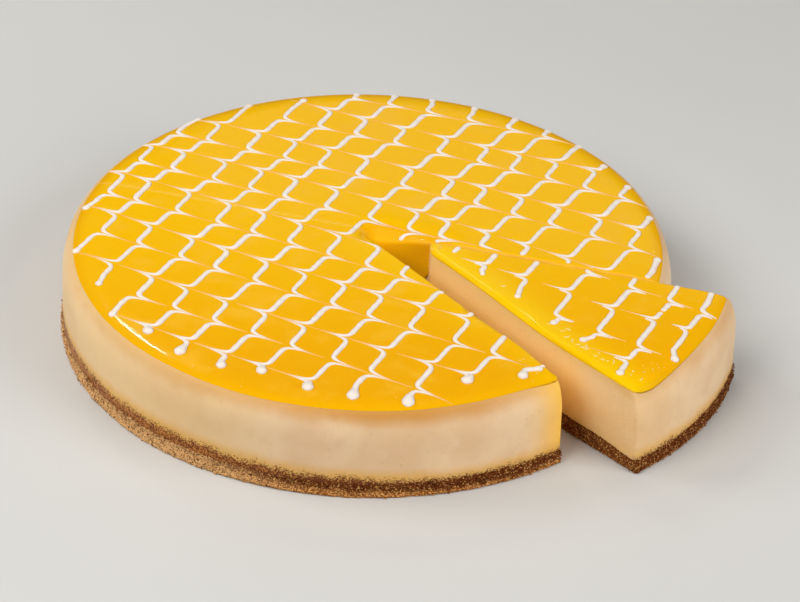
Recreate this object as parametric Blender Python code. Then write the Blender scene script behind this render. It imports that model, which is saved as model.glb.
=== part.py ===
"""A lemon cheesecake: biscuit crust, baked filling and a thin lemon glaze, with one wedge cut and drawn a little way out.

Metres, +Z up. The origin is the centre of the round base, on the face that the cake stands on.
"""

import math

import bmesh
import bpy

# The whole cake
BASE_RADIUS = 0.120
CAKE_HEIGHT = 0.0378
SEGMENTS = 112
LAYER_GAP = 0.0003

# Biscuit crust: thicker in the middle than at the rim, with a crumbled outline
CRUST_MIDDLE = 0.0080
CRUST_RIM = 0.0064
CRUST_THINS_FROM = 0.100
CRUST_CORNER = 0.0010
CRUMBLE = 0.00035
THINNING_STEPS = 6

# Baked filling: an upright wall that bulges a little and rounds over at the top
WALL_RADIUS = 0.1193
WALL_BULGE = 0.0002
SHOULDER_WIDTH = 0.0049
SHOULDER_DEPTH = 0.0130
SHOULDER_STEPS = 8
WALL_STEPS = 3

# Lemon glaze: a thin sheet with a rounded edge, set in from the wall
GLAZE_RADIUS = 0.1147
GLAZE_THICKNESS = 0.0016
GLAZE_EDGE = 0.0045
GLAZE_STEPS = 4

# The notch that the wedge came out of: a blunt inner end and two upright cuts
NOTCH_NEAR_END = (0.0033, -0.0008)
NOTCH_FAR_END = (0.0033, 0.0072)
NOTCH_NEAR_ANGLE = math.radians(-51.8)
NOTCH_FAR_ANGLE = math.radians(-15.3)

# The wedge, drawn out along the far cut: its blunt tip, its two cuts and the centre of its outer wall
SLICE_NEAR_TIP = (0.0243, -0.0052)
SLICE_FAR_TIP = (0.0243, 0.0005)
SLICE_NEAR_ANGLE = math.radians(-51.0)
SLICE_FAR_ANGLE = math.radians(-15.15)
SLICE_CENTRE = (0.02635, -0.0075)

CUT_LENGTH = 0.200
CUT_MARGIN = 0.010


def smooth_step(x):
    x = min(max(x, 0.0), 1.0)
    return x * x * (3.0 - 2.0 * x)


def crust_top(radius):
    """Height of the crust's upper face at a distance from the centre."""
    share = smooth_step((radius - CRUST_THINS_FROM) / (BASE_RADIUS - CRUST_CORNER - CRUST_THINS_FROM))
    return CRUST_MIDDLE + (CRUST_RIM - CRUST_MIDDLE) * share


def thinning_radii(outermost):
    """Distances from the centre at which the crust's sloping upper face has a ring, inner ones first."""
    span = outermost - CRUST_THINS_FROM
    return [CRUST_THINS_FROM + span * i / THINNING_STEPS for i in range(THINNING_STEPS + 1)]


def quarter_round(centre, width, height, start, steps):
    """Points of a quarter ellipse, anticlockwise from the start angle in degrees."""
    points = []
    for i in range(steps + 1):
        angle = math.radians(start + 90.0 * i / steps)
        points.append((centre[0] + width * math.cos(angle), centre[1] + height * math.sin(angle)))
    return points


def crust_profile():
    """Half section of the crust, from the axis along the underside, up the rim and back over the top."""
    inner = BASE_RADIUS - CRUST_CORNER
    points = [(0.0, 0.0)]
    points += quarter_round((inner, CRUST_CORNER), CRUST_CORNER, CRUST_CORNER, -90.0, 3)
    points += quarter_round((inner, CRUST_RIM - CRUST_CORNER), CRUST_CORNER, CRUST_CORNER, 0.0, 3)
    points += [(radius, crust_top(radius)) for radius in reversed(thinning_radii(inner)[:-1])]
    points.append((0.0, CRUST_MIDDLE))
    return points


def filling_profile():
    """Half section of the filling, from the axis along the crust, up the wall and over the shoulder."""
    top = CAKE_HEIGHT - GLAZE_THICKNESS - LAYER_GAP
    foot = crust_top(WALL_RADIUS) + LAYER_GAP
    shoulder = top - SHOULDER_DEPTH
    points = [(0.0, CRUST_MIDDLE + LAYER_GAP)]
    points += [(radius, crust_top(radius) + LAYER_GAP) for radius in thinning_radii(WALL_RADIUS)]
    for i in range(1, WALL_STEPS):
        share = i / WALL_STEPS
        bulge = WALL_BULGE * math.sin(math.pi * share)
        points.append((WALL_RADIUS + bulge, foot + (shoulder - foot) * share))
    rounding = (WALL_RADIUS - SHOULDER_WIDTH, shoulder)
    points += quarter_round(rounding, SHOULDER_WIDTH, SHOULDER_DEPTH, 0.0, SHOULDER_STEPS)
    points.append((0.0, top))
    return points


def glaze_profile():
    """Half section of the glaze, with the edge rounded over from its underside."""
    underside = CAKE_HEIGHT - GLAZE_THICKNESS
    points = [(0.0, underside)]
    rounding = (GLAZE_RADIUS - GLAZE_EDGE, underside)
    points += quarter_round(rounding, GLAZE_EDGE, GLAZE_THICKNESS, 0.0, GLAZE_STEPS)
    points.append((0.0, CAKE_HEIGHT))
    return points


def crumbled(angle):
    """How far the crust's rim stands out at an angle round the cake."""
    waves = math.sin(7 * angle + 0.4) + 0.7 * math.sin(16 * angle + 1.9) + 0.5 * math.sin(29 * angle + 0.7)
    return CRUMBLE * waves / 2.2


def crumble_rim(mesh, centre):
    for vertex in mesh.verts:
        x = vertex.co.x - centre[0]
        y = vertex.co.y - centre[1]
        radius = math.hypot(x, y)
        if radius > CRUST_THINS_FROM:
            weight = smooth_step((radius - CRUST_THINS_FROM) / (BASE_RADIUS - CRUST_THINS_FROM))
            grown = 1.0 + weight * crumbled(math.atan2(y, x)) / radius
            vertex.co.x = centre[0] + x * grown
            vertex.co.y = centre[1] + y * grown


def turned(profile, centre):
    """A closed mesh made by turning a half section a full turn round an upright axis."""
    mesh = bmesh.new()
    verts = [mesh.verts.new((centre[0] + r, centre[1], z)) for r, z in profile]
    edges = [mesh.edges.new(pair) for pair in zip(verts, verts[1:])]
    bmesh.ops.spin(
        mesh,
        geom=verts + edges,
        cent=(centre[0], centre[1], 0.0),
        axis=(0.0, 0.0, 1.0),
        angle=2.0 * math.pi,
        steps=SEGMENTS,
        use_duplicate=False,
    )
    bmesh.ops.remove_doubles(mesh, verts=mesh.verts, dist=0.000001)
    bmesh.ops.recalc_face_normals(mesh, faces=mesh.faces)
    return mesh


def wedge_outline(near, far, near_angle, far_angle):
    """The plan of a wedge with a blunt inner end, anticlockwise."""
    near_out = (near[0] + CUT_LENGTH * math.cos(near_angle), near[1] + CUT_LENGTH * math.sin(near_angle))
    far_out = (far[0] + CUT_LENGTH * math.cos(far_angle), far[1] + CUT_LENGTH * math.sin(far_angle))
    return [near, near_out, far_out, far]


def make_cutter(name, outline):
    """An upright prism on a plan, taller than the cake at both ends."""
    mesh = bmesh.new()
    floor = mesh.faces.new([mesh.verts.new((x, y, -CUT_MARGIN)) for x, y in outline])
    raised = bmesh.ops.extrude_face_region(mesh, geom=[floor])
    corners = [item for item in raised["geom"] if isinstance(item, bmesh.types.BMVert)]
    bmesh.ops.translate(mesh, verts=corners, vec=(0.0, 0.0, CAKE_HEIGHT + 2.0 * CUT_MARGIN))
    bmesh.ops.recalc_face_normals(mesh, faces=mesh.faces)
    cutter = add_object(name, mesh)
    cutter.hide_render = True
    cutter.display_type = "WIRE"
    return cutter


def add_object(name, mesh):
    data = bpy.data.meshes.new(name)
    mesh.to_mesh(data)
    mesh.free()
    made = bpy.data.objects.new(name, data)
    bpy.context.scene.collection.objects.link(made)
    return made


def make_material(name, colour, roughness):
    material = bpy.data.materials.new(name)
    material.use_nodes = True
    shader = material.node_tree.nodes["Principled BSDF"]
    shader.inputs["Base Color"].default_value = (*colour, 1.0)
    shader.inputs["Roughness"].default_value = roughness
    shader.inputs["Metallic"].default_value = 0.0
    return material


def make_layer(name, mesh, cutter, operation, material):
    """One layer of the cake or of the wedge, cut to its plan by the cutter."""
    layer = add_object(name, mesh)
    layer.data.materials.append(material)
    layer.data.shade_smooth()
    layer.data.set_sharp_from_angle(angle=math.radians(35.0))
    cut = layer.modifiers.new("Cut", "BOOLEAN")
    cut.operation = operation
    cut.solver = "EXACT"
    cut.object = cutter
    return layer


def make_cake(prefix, centre, cutter, operation, materials):
    """The three layers, turned round a centre and cut to one plan."""
    crust = turned(crust_profile(), centre)
    crumble_rim(crust, centre)
    make_layer(prefix + "crust", crust, cutter, operation, materials["crust"])
    filling = turned(filling_profile(), centre)
    make_layer(prefix + "filling", filling, cutter, operation, materials["filling"])
    glaze = turned(glaze_profile(), centre)
    make_layer(prefix + "glaze", glaze, cutter, operation, materials["glaze"])


def main():
    for leftover in list(bpy.data.objects):
        bpy.data.objects.remove(leftover, do_unlink=True)

    materials = {
        "crust": make_material("biscuit", (0.25, 0.10, 0.03), 0.85),
        "filling": make_material("cheesecake", (0.84, 0.66, 0.42), 0.50),
        "glaze": make_material("lemon_glaze", (0.92, 0.46, 0.01), 0.08),
    }

    notch_plan = wedge_outline(NOTCH_NEAR_END, NOTCH_FAR_END, NOTCH_NEAR_ANGLE, NOTCH_FAR_ANGLE)
    notch = make_cutter("notch_cutter", notch_plan)
    make_cake("", (0.0, 0.0), notch, "DIFFERENCE", materials)

    slice_plan = wedge_outline(SLICE_NEAR_TIP, SLICE_FAR_TIP, SLICE_NEAR_ANGLE, SLICE_FAR_ANGLE)
    wedge = make_cutter("slice_cutter", slice_plan)
    make_cake("slice_", SLICE_CENTRE, wedge, "INTERSECT", materials)


main()
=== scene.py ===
import math
from itertools import combinations

import bpy
import numpy as np
from mathutils import Matrix, Vector
from mathutils.geometry import delaunay_2d_cdt


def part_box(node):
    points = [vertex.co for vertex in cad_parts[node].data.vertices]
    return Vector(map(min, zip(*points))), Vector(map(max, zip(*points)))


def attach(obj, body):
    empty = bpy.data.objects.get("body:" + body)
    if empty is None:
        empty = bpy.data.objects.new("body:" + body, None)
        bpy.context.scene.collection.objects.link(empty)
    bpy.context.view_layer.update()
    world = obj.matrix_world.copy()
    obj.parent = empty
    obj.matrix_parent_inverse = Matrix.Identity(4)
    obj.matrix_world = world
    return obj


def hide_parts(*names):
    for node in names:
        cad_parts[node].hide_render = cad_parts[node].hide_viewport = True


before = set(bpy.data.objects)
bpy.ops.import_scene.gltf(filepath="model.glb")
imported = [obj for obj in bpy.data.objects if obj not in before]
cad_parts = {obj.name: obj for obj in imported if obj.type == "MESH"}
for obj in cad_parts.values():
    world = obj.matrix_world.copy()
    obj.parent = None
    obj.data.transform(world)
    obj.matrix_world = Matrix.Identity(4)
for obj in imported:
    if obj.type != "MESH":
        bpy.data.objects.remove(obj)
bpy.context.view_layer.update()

scene = bpy.context.scene
mm = 0.001

# The cake's plan: round rim, and a notch with a blunt inner end between a near and a far cut.
cakePlan = {
    "centre": (0.0, 0.0),
    "radius": 0.120,
    "nearEnd": (0.0033, -0.0008),
    "farEnd": (0.0033, 0.0072),
    "nearAngle": math.radians(-51.8),
    "farAngle": math.radians(-15.3),
    "isWedge": False,
    "hub": (-0.040, 0.034),      # a point that sees the whole rim and both cuts
    "waver": 0.00022,            # how far a cut wanders from straight
    "nearSwell": (0.0011, 0.086, 0.022),    # how far the near cut swells out, how far along, how broadly
    "crustBake": 0.92,           # how much darker than usual the crust is baked
    "cornerReach": 0.0013,       # how much further the glaze reaches out at the near corner
    "cornerWidth": 0.010,
    "rounds": {"near": 0.0014, "far": 0.0009, "end": 0.0030},    # widths over which the glaze rounds down
    "nearLightTint": 0.35,            # how strongly the glaze is painted brighter beside the near cut: partly thinner gel, partly painted light
    "cutLightFades": 0.0,          # how far the painted light of the near cut and its corner gives way to plain cream at that corner
    "glazeRound": 0.0012,        # rounding of the glaze's corners in plan
    "seed": 3,
}

# The wedge that was drawn out, in its own place.
slicePlan = {
    "centre": (0.02635, -0.0075),
    "radius": 0.120,
    "nearEnd": (0.0243, -0.0052),
    "farEnd": (0.0243, 0.0005),
    "nearAngle": math.radians(-49.5),
    "farAngle": math.radians(-15.15),
    "isWedge": True,
    "hub": (0.080, -0.040),
    "waver": 0.00018,
    "nearSwell": (0.0030, 0.080, 0.040),
    "crustBake": 1.3,
    "cornerReach": 0.0025,
    "cornerWidth": 0.027,
    "rounds": {"near": 0.0026, "far": 0.0009, "end": 0.0024},
    "nearLightTint": 0.9,
    "cutLightFades": 0.85,
    "glazeRound": 0.0016,
    "seed": 11,
}

# Heights of the layers, and how they round over.
layers = {
    "crustMiddle": 0.0080,
    "crustRim": 0.0064,
    "crustThinsFrom": 0.100,
    "wallInset": 0.0007,
    "fillingTop": 0.03625,
    "shoulderWidth": 0.0049,
    "shoulderDepth": 0.0133,
    "glazeTop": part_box("glaze")[1][2],
    "glazeInset": 0.0051,        # from the base's rim to the edge of the glaze
    "glazeWander": 0.00035,      # how unevenly that edge runs
    "rimRound": 0.0034,          # width over which the glaze rounds down at the rim
    "rimSlope": 0.0105,          # width of the gentle slope inside that
    "slopeShare": 0.80,
    "glazeSwells": ((0.035, 0.00008, 5), (0.009, 0.00003, 6)),      # cell, height and seed of each swell
    "slump": 0.0007,             # how far the corner beside the near cut has slumped
    "sagDepth": 0.0044,          # how deep the top has sunk beside the notch's inner end
    "sagWidth": 0.0052,
    "sagLength": 0.026,
}


# Mixing numbers of the noise's hash.
hashPrimes = (73856093, 19349663, 83492791)
hashFactors = (1274126177, 668265263)
wordMask = 0xFFFFFFFF


# Noise: random heights on a lattice of the given cell, blended with a smooth step, from -1 to 1.
def softNoise(points, cell, seed):
    scaled = np.asarray(points, float) / cell + 11.7 * seed
    base = np.floor(scaled).astype(np.int64)
    part = scaled - base
    part = part * part * (3.0 - 2.0 * part)
    total = np.zeros(scaled.shape[:-1])
    dims = scaled.shape[-1]
    primes = np.array(hashPrimes[:dims], dtype=np.int64)
    for corner in range(2 ** dims):
        step = np.array([(corner >> axis) & 1 for axis in range(dims)])
        mixed = ((base + step) * primes).sum(-1) + seed * 7919
        mixed = (mixed ^ (mixed >> 13)) * hashFactors[0] & wordMask
        mixed = (mixed ^ (mixed >> 16)) * hashFactors[1] & wordMask
        weight = np.where(step == 1, part, 1.0 - part).prod(-1)
        total += weight * (mixed / (wordMask >> 1) - 1.0)
    return total


# Several octaves of softNoise, each with half the cell and half the height.
def rollingNoise(points, cell, seed, octaves=3):
    total = 0.0
    height = 1.0
    for octave in range(octaves):
        total = total + height * softNoise(points, cell / 2 ** octave, seed + octave)
        height *= 0.5
    return total / (2.0 - 2.0 * height)


# 3x^2 - 2x^3 between 0 and 1, and level outside.
def smoothStep(x):
    x = np.clip(x, 0.0, 1.0)
    return x * x * (3.0 - 2.0 * x)


# From a to b by a share.
def blend(a, b, share):
    return a * (1 - share) + b * share


# A quarter round: 0 at the edge, rising steeply, then level at 1 from the given width on.
def quarterRound(distance, width):
    share = np.clip(distance / width, 0.0, 1.0)
    return np.sqrt(np.clip(1.0 - (1.0 - share) ** 2, 0.0, 1.0))


# Places in plan given a third coordinate of 0.
def onGround(xy):
    return np.concatenate([xy, xy[..., :1] * 0.0], -1)


# The direction in plan at an angle.
def unitAt(angle):
    return np.array([math.cos(angle), math.sin(angle)])


# A direction in plan, turned a quarter to the left.
def leftOf(way):
    return np.array([-way[1], way[0]])


# The angle of a place round the origin.
def turnOf(xy):
    return np.arctan2(xy[..., 1], xy[..., 0])


# The distance of a place from the plan's centre.
def radiusAt(plan, xy):
    return np.linalg.norm(xy - np.array(plan["centre"]), axis=-1)


# How darkly a place on the rim is baked: a smooth step of the cosine of its angle, least at the left.
def bakedShare(xy):
    return smoothStep(0.75 + 0.9 * np.cos(turnOf(xy) - math.radians(10.0)))


# How strongly the filling is tinted under the glaze, by angle: a bell curve round the front.
def tintedShare(xy):
    return np.exp(-((turnOf(xy) + math.radians(85.0)) / math.radians(38.0)) ** 2)


# Weighted average along a closed loop, with a bell curve of the given width in samples.
def smoothLoop(values, width):
    count = len(values)
    spot = np.minimum(np.arange(count), count - np.arange(count))
    bell = np.exp(-0.5 * (spot / width) ** 2)
    bell /= bell.sum()
    spectrum = np.fft.fft(values, axis=0)
    kernel = np.fft.fft(bell)
    if values.ndim == 2:
        kernel = kernel[:, None]
    return np.real(np.fft.ifft(spectrum * kernel, axis=0))


# Values of a closed run of samples at places between them.
def pickAlong(values, picks):
    closed = np.concatenate([values, values[:1]])
    low = np.floor(picks).astype(int)
    share = (picks - low).reshape((-1,) + (1,) * (values.ndim - 1))
    return closed[low] * (1 - share) + closed[np.minimum(low + 1, len(values))] * share


# Where the line from a start along a direction leaves the circle round the plan's centre.
def rimHit(plan, radius, start, direction):
    offset = start - np.array(plan["centre"])
    along = offset @ direction
    return start + (-along + math.sqrt(along * along - offset @ offset + radius ** 2)) * direction


# The plan's outline with every edge moved inward by its own distance: an arc of the smaller radius, the
# two cuts moved sideways, and the blunt end, anticlockwise, each edge with a fixed number of samples.
def sharpOutline(plan, counts, rim=0.0, near=0.0, far=0.0, end=0.0):
    isWedge = plan["isWedge"]
    side = 1.0 if isWedge else -1.0
    nearWay = unitAt(plan["nearAngle"])
    farWay = unitAt(plan["farAngle"])
    nearStart = np.array(plan["nearEnd"]) + side * near * leftOf(nearWay)
    farStart = np.array(plan["farEnd"]) - side * far * leftOf(farWay)
    endX = plan["nearEnd"][0] + side * end
    nearCorner = nearStart + (endX - nearStart[0]) / nearWay[0] * nearWay
    farCorner = farStart + (endX - farStart[0]) / farWay[0] * farWay
    radius = plan["radius"] - np.broadcast_to(rim, (counts[0],))
    centre = np.array(plan["centre"])
    nearHit = rimHit(plan, radius[0] if isWedge else radius[-1], nearCorner, nearWay)
    farHit = rimHit(plan, radius[-1] if isWedge else radius[0], farCorner, farWay)
    nearTurn = math.atan2(*(nearHit - centre)[::-1])
    farTurn = math.atan2(*(farHit - centre)[::-1])
    turns = (nearTurn, farTurn) if isWedge else (farTurn, nearTurn + 2 * math.pi)
    corners = [nearHit, nearCorner, farCorner, farHit]
    if isWedge:
        corners.reverse()
    angles = np.linspace(*turns, counts[0], endpoint=False)
    runs = [centre + radius[:, None] * np.stack([np.cos(angles), np.sin(angles)], 1)]
    for count, start, stop in zip(counts[1:], corners, corners[1:]):
        runs.append(start + (stop - start) * np.linspace(0.0, 1.0, count, endpoint=False)[:, None])
    return np.concatenate(runs)


# How the places along an outline are spread and blended, in metres along it.
loopShape = {
    "fine": 0.0001,              # between the samples that the places are picked from
    "crowding": 4.0,             # how many more places a corner has than a plain stretch, for each one
    "crowdReach": 0.0012,
    "cutBlend": 0.0040,          # how far from a corner a cut starts to waver
    "zoneBlend": 0.0012,
    "outwardBlend": 0.0008,
    "waverCell": 0.020,
}


# Ties a plan to the places along its outline at which every ring has a point: closer near corners. Also
# gives the outward direction there, how far each place belongs to rim, cuts and end, and how cuts waver.
def makeLoop(plan, spacing, cornerRound=0.0006):
    fine = loopShape["fine"]
    rough = sharpOutline(plan, (4, 1, 1, 1))
    edges = np.linalg.norm(np.diff(np.concatenate([rough[4:], rough[:1]]), axis=0), axis=1)
    arc = abs(plan["farAngle"] - plan["nearAngle"]) * plan["radius"]
    if not plan["isWedge"]:
        arc = plan["radius"] * 2 * math.pi - arc
    counts = (int(arc / fine), *(int(length / fine) for length in edges))
    zones = ("rim", "far", "end", "near") if plan["isWedge"] else ("rim", "near", "end", "far")
    names = np.repeat(zones, counts)
    sharp = sharpOutline(plan, counts)
    tangent = np.roll(sharp, -1, 0) - np.roll(sharp, 1, 0)
    tangent /= np.linalg.norm(tangent, axis=1)[:, None]
    outward = np.stack([tangent[:, 1], -tangent[:, 0]], 1)
    onCut = smoothLoop((names == "near").astype(float) + (names == "far"), loopShape["cutBlend"] / fine)
    sway = rollingNoise(onGround(sharp), loopShape["waverCell"], plan["seed"])
    swell = nearSwelling(plan, sharp) * (names == "near")
    waver = outward * (plan["waver"] * sway * smoothStep(2.0 * onCut - 1.0) + swell)[:, None]
    cornerAt = np.cumsum((0,) + counts)[:-1]
    toCorner = np.abs(np.arange(len(sharp))[:, None] - cornerAt[None])
    toCorner = np.minimum(toCorner, len(sharp) - toCorner).min(1) * fine
    crowding = loopShape["crowding"] * np.exp(-toCorner / loopShape["crowdReach"])
    ruler = np.concatenate([[0.0], np.cumsum((1.0 + crowding) * fine / spacing)])
    count = int(ruler[-1])
    picks = np.interp(np.arange(count) * ruler[-1] / count, ruler, np.arange(len(ruler)))
    loop = {"plan": plan, "counts": counts, "picks": picks, "waver": waver, "corner": cornerRound / fine}
    for zone in zones:
        share = smoothLoop((names == zone).astype(float), loopShape["zoneBlend"] / fine)
        loop[zone] = np.clip(pickAlong(share, picks), 0, 1)
    turnedOut = pickAlong(smoothLoop(outward, loopShape["outwardBlend"] / fine), picks)
    loop["outward"] = turnedOut / np.linalg.norm(turnedOut, axis=1)[:, None]
    loop["point"] = ringAt(loop)
    loop["place"] = onGround(loop["point"])
    return loop


# One ring of a loop: the outline moved inward, its corners rounded, read at the loop's places.
def ringAt(loop, rim=0.0, near=0.0, far=0.0, end=0.0):
    sharp = sharpOutline(loop["plan"], loop["counts"], rim, near, far, end) + loop["waver"]
    return pickAlong(smoothLoop(sharp, loop["corner"]), loop["picks"])


# How far the near cut swells out: a bell curve of the distance from its inner end.
def nearSwelling(plan, xy):
    depth, along, breadth = plan["nearSwell"]
    fromTip = np.linalg.norm(xy - np.array(plan["nearEnd"]), axis=-1)
    return depth * np.exp(-((fromTip - along) / breadth) ** 2)


# Signed distances from places to the plan's edges, positive on the side of the solid.
def edgeDistances(plan, xy):
    sign = -1.0 if plan["isWedge"] else 1.0
    swayed = plan["waver"] * rollingNoise(onGround(xy), loopShape["waverCell"], plan["seed"])

    def fromLine(end, angle, side):
        return ((xy - np.array(end)) @ (side * leftOf(unitAt(angle)))) * sign + swayed

    return {
        "rim": plan["radius"] - radiusAt(plan, xy),
        "near": fromLine(plan["nearEnd"], plan["nearAngle"], -1.0) + nearSwelling(plan, xy),
        "far": fromLine(plan["farEnd"], plan["farAngle"], 1.0),
        "end": (plan["nearEnd"][0] - xy[..., 0]) * sign,
    }


# Height of the crust's upper face: level, then falling along a smooth step to the rim.
def crustHeight(plan, xy):
    span = plan["radius"] - 0.001 - layers["crustThinsFrom"]
    fall = smoothStep((radiusAt(plan, xy) - layers["crustThinsFrom"]) / span)
    return layers["crustMiddle"] + (layers["crustRim"] - layers["crustMiddle"]) * fall


# Height of the filling's upper face: level, then a quarter ellipse down to the wall.
def fillingHeight(plan, xy):
    wall = plan["radius"] - layers["wallInset"]
    width = layers["shoulderWidth"]
    share = np.clip((radiusAt(plan, xy) - wall + width) / width, 0.0, 0.995)
    drop = layers["shoulderDepth"] * (1.0 - np.sqrt(1.0 - share ** 2))
    return layers["fillingTop"] - drop


# Distance from the near cut itself: past its inner end, from that end.
def nearGap(plan, xy):
    along = (xy - np.array(plan["nearEnd"])) @ unitAt(plan["nearAngle"])
    return np.hypot(edgeDistances(plan, xy)["near"], np.minimum(along, 0.0))


# 1 in the corner between the near cut and the rim, falling off along a bell curve.
def nearCorner(plan, xy):
    atRim = smoothStep((radiusAt(plan, xy) - 0.085) / 0.03)
    return np.exp(-((nearGap(plan, xy) / plan["cornerWidth"]) ** 2)) * atRim


# How far the edge of the glaze stands in from the base's rim, at an angle round the cake: the plain inset
# with a slow wander, less near the corner beside the near cut.
def glazeEdge(plan, angle):
    ring = np.stack([np.cos(angle), np.sin(angle), 0.0 * angle], -1) * plan["radius"]
    ring[..., :2] += np.array(plan["centre"])
    wander = layers["glazeWander"] * rollingNoise(ring, 0.030, plan["seed"] + 20)
    reach = 0.65 + 0.35 * smoothStep(nearGap(plan, ring[..., :2]) / 0.010)
    return layers["glazeInset"] + wander - plan["cornerReach"] * reach * nearCorner(plan, ring[..., :2])


# How far a place lies inside the edge of the glaze at the rim.
def insideGlaze(plan, xy):
    angle = turnOf(xy - np.array(plan["centre"]))
    return plan["radius"] - radiusAt(plan, xy) - glazeEdge(plan, angle)


# Shares of the rounded widths that a place lies in from each edge, joined: 1 where the top is level.
def roundShare(plan, xy):
    distance = edgeDistances(plan, xy)
    sides = [distance[zone] / width for zone, width in plan["rounds"].items()]
    joined = np.minimum.reduce(sides) if plan["isWedge"] else np.maximum.reduce(sides)
    return np.minimum(insideGlaze(plan, xy) / layers["rimRound"], joined)


# How deep the top has sunk beside the notch's inner end, where the glaze ran over the far cut: a bell curve
# of the distance from a short stretch of that cut, fading along it.
def notchSag(plan, xy):
    if plan["isWedge"]:
        return xy[..., 0] * 0.0
    start = np.array(plan["farEnd"])
    way = unitAt(plan["farAngle"])
    along = (xy - start) @ way
    closest = start + np.clip(along, 0.0, layers["sagLength"])[..., None] * way
    apart = np.linalg.norm(xy - closest, axis=-1)
    fade = 1.0 - 0.75 * smoothStep(along / layers["sagLength"])
    return layers["sagDepth"] * np.exp(-((apart / layers["sagWidth"]) ** 2)) * fade


# How far the corner beside the near cut has slumped.
def cornerSlump(plan, xy):
    return layers["slump"] * nearCorner(plan, xy)


# Height of the glaze: the filling's face plus the thickness, rounded down at rim, cuts and blunt end by
# the product of their quarter rounds and, at the rim, of a wider parabola, with a low swell on top.
def glazeHeight(plan, xy):
    distance = edgeDistances(plan, xy)
    inside = insideGlaze(plan, xy)
    slope = 1.0 - layers["slopeShare"] * np.clip(1.0 - inside / layers["rimSlope"], 0.0, 1.0) ** 2
    sides = [quarterRound(distance[zone], width) for zone, width in plan["rounds"].items()]
    cut = sides[0] * sides[1] * sides[2] if plan["isWedge"] else np.maximum.reduce(sides)
    level = quarterRound(inside, layers["rimRound"]) * slope * cut
    swell = -0.0001
    for cell, height, seed in layers["glazeSwells"]:
        swell = swell + height * rollingNoise(onGround(xy), cell, plan["seed"] + seed, 2)
    sunk = cornerSlump(plan, xy) * (1.0 - 0.3 * level) + notchSag(plan, xy)
    full = layers["glazeTop"] - layers["fillingTop"]
    return fillingHeight(plan, xy) + (full + swell) * level - sunk


# Puts points, quads and triangles into a new mesh as whole arrays.
def fillMesh(name, points, quads, triangles):
    mesh = bpy.data.meshes.new(name)
    mesh.vertices.add(len(points))
    mesh.vertices.foreach_set("co", np.asarray(points, np.float32).ravel())
    corners = np.concatenate([quads.ravel(), triangles.ravel()]).astype(np.int32)
    sizes = np.concatenate([np.full(len(quads), 4), np.full(len(triangles), 3)])
    starts = np.concatenate([[0], np.cumsum(sizes)[:-1]])
    mesh.loops.add(len(corners))
    mesh.loops.foreach_set("vertex_index", corners)
    mesh.polygons.add(len(sizes))
    mesh.polygons.foreach_set("loop_start", starts.astype(np.int32))
    mesh.polygons.foreach_set("use_smooth", np.ones(len(sizes), bool))
    mesh.update(calc_edges=True)
    mesh.validate()
    return mesh


# Quads between neighbouring rings of the same count, from the number of each ring's first point.
def ringQuads(starts, count):
    here = np.arange(count)
    after = (here + 1) % count
    low, high = starts[..., :-1, None], starts[..., 1:, None]
    return np.stack([low + here, low + after, high + after, high + here], -1).reshape(-1, 4)


# Triangles that close a ring with one point; a first ring's fan faces the other way from a last one's.
def ringFan(start, count, point, isFirst):
    here = start + np.arange(count)
    after = np.roll(here, -1)
    pair = (after, here) if isFirst else (here, after)
    return np.stack([*pair, np.full(count, point)], 1)


# A grid of rings as a closed mesh: quads between them, fans to a hub below the first and above the last.
def ringMesh(name, plan, rings, hubHeights):
    rows, count = rings.shape[:2]
    hubs = [(*plan["hub"], height) for height in hubHeights]
    fans = np.concatenate([
        ringFan(0, count, rows * count, True),
        ringFan((rows - 1) * count, count, rows * count + 1, False),
    ])
    points = np.concatenate([rings.reshape(-1, 3), hubs])
    return fillMesh(name, points, ringQuads(np.arange(rows) * count, count), fans)


# One value for each point of a mesh, which a material reads by name.
def paint(mesh, name, values):
    layer = mesh.attributes.new(name, "FLOAT", "POINT")
    layer.data.foreach_set("value", np.asarray(values, np.float32).ravel())


# The same for a mesh of rings, whose two hubs get one value.
def paintRings(mesh, name, values, atHubs=0.0):
    paint(mesh, name, np.concatenate([values.ravel(), [atHubs, atHubs]]))


# A mesh as a piece of the cake, in the places of the nodes that it draws again.
def addPiece(mesh, material, slotName, *nodes):
    piece = bpy.data.objects.new(mesh.name, mesh)
    scene.collection.objects.link(piece)
    mesh.materials.append(material)
    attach(piece, "root")
    if nodes:
        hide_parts(*nodes)
    return piece


# Rings from a ring towards the hub, by straight shares, all at one height.
def towardsHub(ring, plan, shares, height):
    shares = np.array(shares)[:, None, None]
    flat = ring[None, :, :2] * (1 - shares) + np.array(plan["hub"]) * shares
    return np.concatenate([flat, np.broadcast_to(height, flat.shape[:2])[..., None]], -1)


# sRGB 0 to 255, as seen, to the linear colour that a shader takes
def seen(*channels):
    share = np.array(channels) / 255.0
    linear = np.where(share <= 0.04045, share / 12.92, ((share + 0.055) / 1.055) ** 2.4)
    return (*(float(c) for c in linear), 1.0)


# Sets a node's sockets: a socket is linked, and anything else is written on the node's own socket.
def setSockets(node, values):
    for key, value in values.items():
        if isinstance(value, bpy.types.NodeSocket):
            node.id_data.links.new(value, node.inputs[key])
        else:
            node.inputs[key].default_value = value


def addNode(tree, kind, values=None, **settings):
    node = tree.nodes.new(kind)
    for key, value in settings.items():
        setattr(node, key, value)
    setSockets(node, values or {})
    return node


# A new material, its tree and a socket with the place on the piece.
def newMaterial(name):
    material = bpy.data.materials.new(name)
    material.use_nodes = True
    tree = material.node_tree
    return material, tree, addNode(tree, "ShaderNodeTexCoord").outputs["Object"]


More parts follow.
